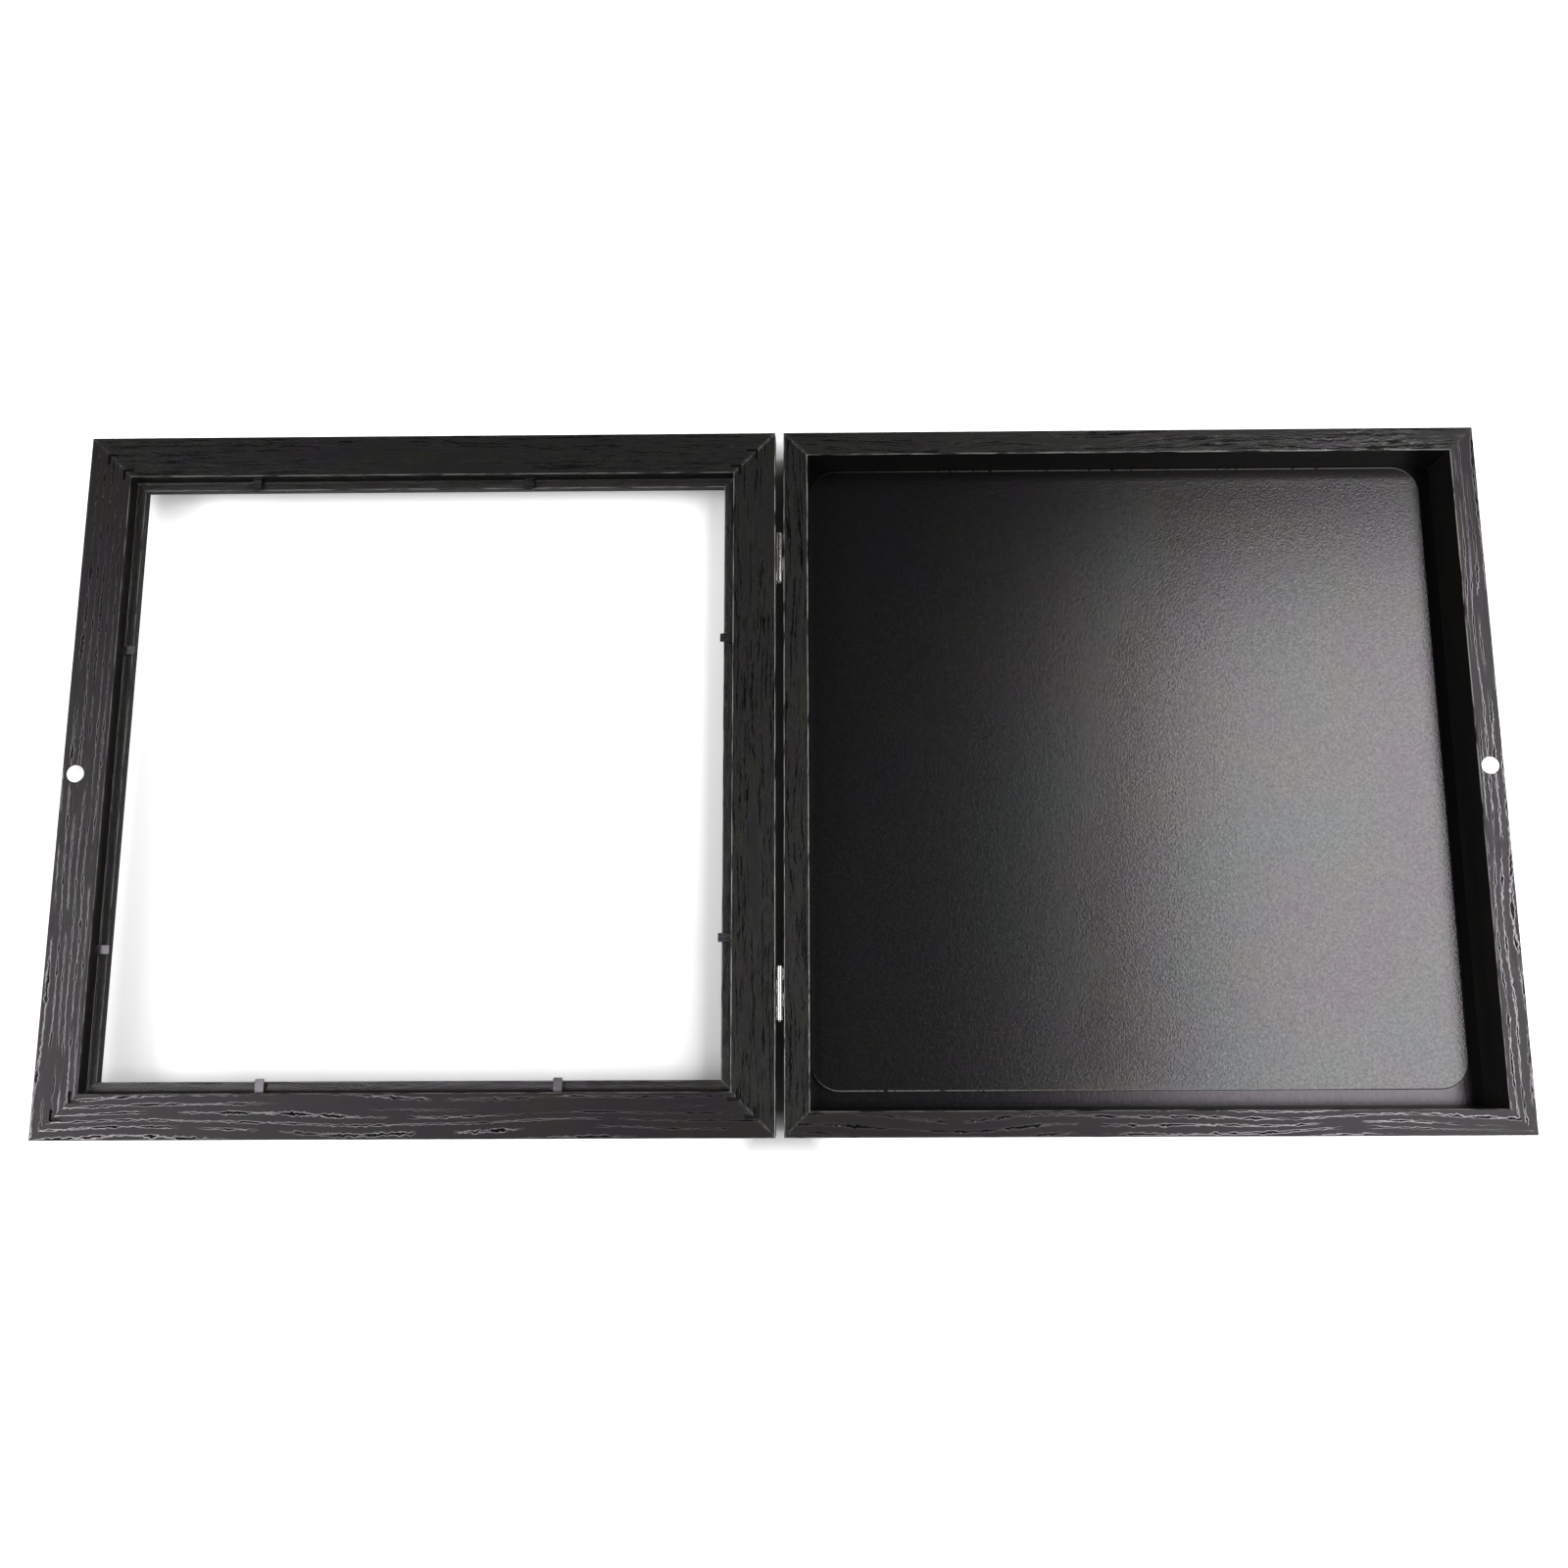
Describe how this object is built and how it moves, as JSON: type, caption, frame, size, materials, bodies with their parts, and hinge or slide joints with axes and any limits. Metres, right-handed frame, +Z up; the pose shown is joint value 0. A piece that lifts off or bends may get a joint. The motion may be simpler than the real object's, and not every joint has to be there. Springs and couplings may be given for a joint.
{
  "type": "t-shirt display frame",
  "caption": "Square shadow-box frame with a hinged clear door, magnet catch and loose grained board, for showing a folded T-shirt.",
  "frame": {"origin": "under the middle of the hinge line, on the surface that the open frame lies on", "axes": "+X from the door across the hinge line to the case, +Y towards the case's top rail, +Z up out of the case"},
  "size_m": [0.8046, 0.4, 0.0367],
  "materials": {
    "door_wood": "black oak-grain foil on moulding, satin, open pores, brighter arrises",
    "case_wood": "black oak-grain foil on moulding, satin, plain black inner walls",
    "pane": "clear polished acrylic sheet",
    "points": "black flexible steel points",
    "v_nails": "dull steel V nails",
    "nickel": "bright nickel plate",
    "magnet": "nickel-plated disc, slightly dull",
    "panel": "thin black-faced fibreboard",
    "board_core": "black board core, cut edges",
    "board_face": "black fine-grained leatherette with a soft broad sheen",
    "hangers": "brassed sheet steel",
    "bumpers": "black rubber"
  },
  "bodies": {
    "case": {"case_rail_top": "case_wood", "case_rail_bottom": "case_wood", "case_rail_hinge_side": "case_wood", "case_rail_magnet_side": "case_wood", "case_v_nails": "v_nails", "panel_points": "points", "case_magnet": "magnet", "back_panel": "panel", "case_hinge_screws": "nickel", "upper_hinge_case_leaf": "nickel", "lower_hinge_case_leaf": "nickel", "upper_hinge_pin": "nickel", "lower_hinge_pin": "nickel", "left_hanger": "hangers", "right_hanger": "hangers", "hanger_nails": "hangers", "wall_bumpers": "bumpers"},
    "door": {"door_rail_top": "door_wood", "door_rail_bottom": "door_wood", "door_rail_hinge_side": "door_wood", "door_rail_magnet_side": "door_wood", "door_v_nails": "v_nails", "pane_points": "points", "door_magnet": "magnet", "clear_pane": "pane", "door_hinge_screws": "nickel", "upper_hinge_door_leaf": "nickel", "lower_hinge_door_leaf": "nickel"},
    "board": {"board_core": "board_core", "board_face": "board_face"}
  },
  "joints": [
    {"name": "door_hinge", "type": "hinge", "parent": "case", "child": "door", "pos_m": [0, 0, 0.03515], "axis": [0, 1, 0], "range_deg": [0, 180]},
    {"name": "board_lift", "type": "slide", "parent": "case", "child": "board", "axis": [0, 0, 1], "range_m": [0, 0.02]}
  ]
}
